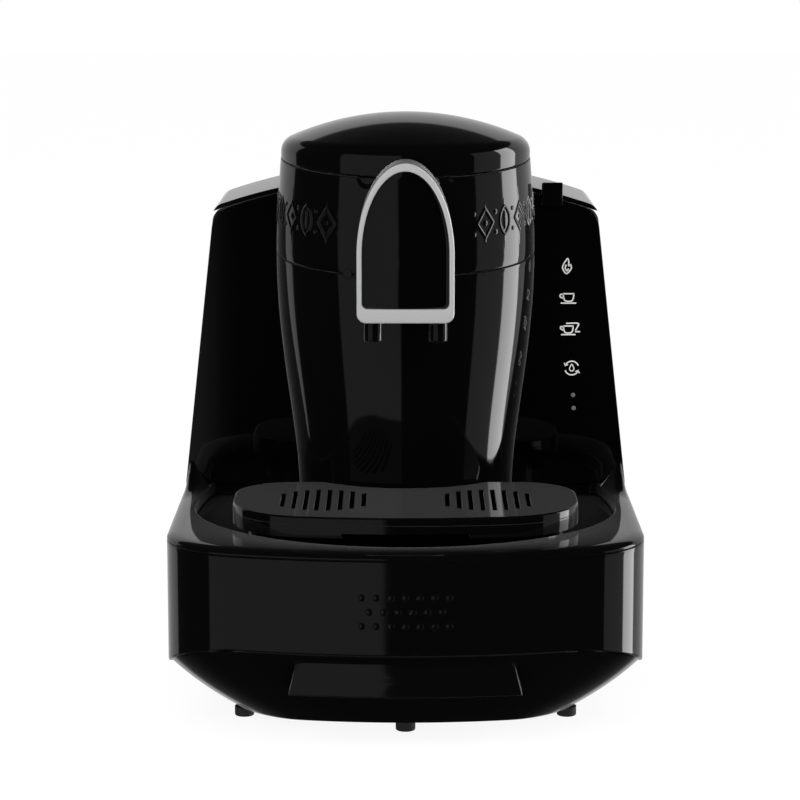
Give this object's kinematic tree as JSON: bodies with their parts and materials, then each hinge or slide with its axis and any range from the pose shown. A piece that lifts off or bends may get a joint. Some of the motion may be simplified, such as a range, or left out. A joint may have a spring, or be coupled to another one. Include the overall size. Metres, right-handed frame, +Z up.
{
  "type": "electric turkish coffee maker",
  "caption": "Electric coffee maker that brews under a hinged tower lid and pours through a twin-nozzle spout onto a slotted cup platform, with a waste drawer and a lift-off rear water tank.",
  "frame": {"origin": "bottom centre of the bounding box, on the surface it stands on", "axes": "+X to the user's right, +Y to the back, +Z up"},
  "size_m": [0.25, 0.27, 0.315],
  "materials": {
    "body_black": "piano black gloss",
    "hull_black": "piano black gloss",
    "panel_black": "mirror black gloss",
    "inner_black": "fine satin grain",
    "satin_silver": "satin silver plating",
    "pot_steel": "spun steel",
    "rubber_black": "matte rubber",
    "tank_smoke": "smoked clear plastic",
    "steel_small": "plated steel",
    "board_green": "solder mask",
    "pump_grey": "moulded nylon",
    "silicone": "translucent silicone",
    "heater_metal": "cast aluminium",
    "brass_small": "turned brass",
    "lamp_lens": "frosted lens"
  },
  "bodies": {
    "root": {"base_shell": "hull_black", "base_plate": "inner_black", "rubber_feet": "rubber_black", "foot_screws": "steel_small", "base_housing": "body_black", "deck_flare_right": "body_black", "deck_flare_left": "body_black", "drawer_rails": "inner_black", "tray_base": "body_black", "tower_shell": "body_black", "tower_collar": "body_black", "lid_hinge_pin": "steel_small", "chamber_rim": "inner_black", "brew_pot": "pot_steel", "heater_plate": "heater_metal", "heater_bracket": "heater_metal", "boil_sensor": "brass_small", "outlet_valve": "brass_small", "outlet_pipe": "silicone", "spout_manifold": "inner_black", "spout_nozzles": "body_black", "spout_housing": "body_black", "arch_frame": "satin_silver", "arch_panel": "panel_black", "shield_right": "panel_black", "shield_left": "panel_black", "back_housing": "body_black", "tank_dock": "inner_black", "control_board": "board_green", "status_lights": "lamp_lens", "power_board": "board_green", "board_posts": "inner_black", "water_pump": "pump_grey", "pump_mounts": "rubber_black", "suction_tube": "silicone", "delivery_tube": "silicone", "cord_gland": "rubber_black", "housing_screws": "steel_small"},
    "brew_lid": {"brew_lid": "body_black", "lid_liner": "inner_black", "lid_gasket": "silicone"},
    "waste_drawer": {"drawer_front": "body_black", "waste_reservoir": "inner_black"},
    "cup_tray": {"cup_tray": "body_black"},
    "water_tank": {"water_tank": "tank_smoke", "tank_lid_pins": "steel_small"},
    "tank_lid": {"tank_lid": "body_black"}
  },
  "joints": [
    {"name": "brew_lid_hinge", "type": "hinge", "parent": "root", "child": "brew_lid", "pos_m": [0, 0.087, 0.2975], "axis": [-1, 0, 0], "range_deg": [0, 75]},
    {"name": "waste_drawer_slide", "type": "slide", "parent": "root", "child": "waste_drawer", "axis": [0, -1, 0], "range_m": [0, 0.1]},
    {"name": "cup_tray_lift", "type": "slide", "parent": "root", "child": "cup_tray", "axis": [0, 0, 1], "range_m": [0, 0.03]},
    {"name": "water_tank_lift", "type": "slide", "parent": "root", "child": "water_tank", "axis": [0, 0, 1], "range_m": [0, 0.16]},
    {"name": "tank_lid_hinge", "type": "hinge", "parent": "water_tank", "child": "tank_lid", "pos_m": [0, 0.1322, 0.259], "axis": [-1, 0, 0], "range_deg": [0, 80]}
  ]
}
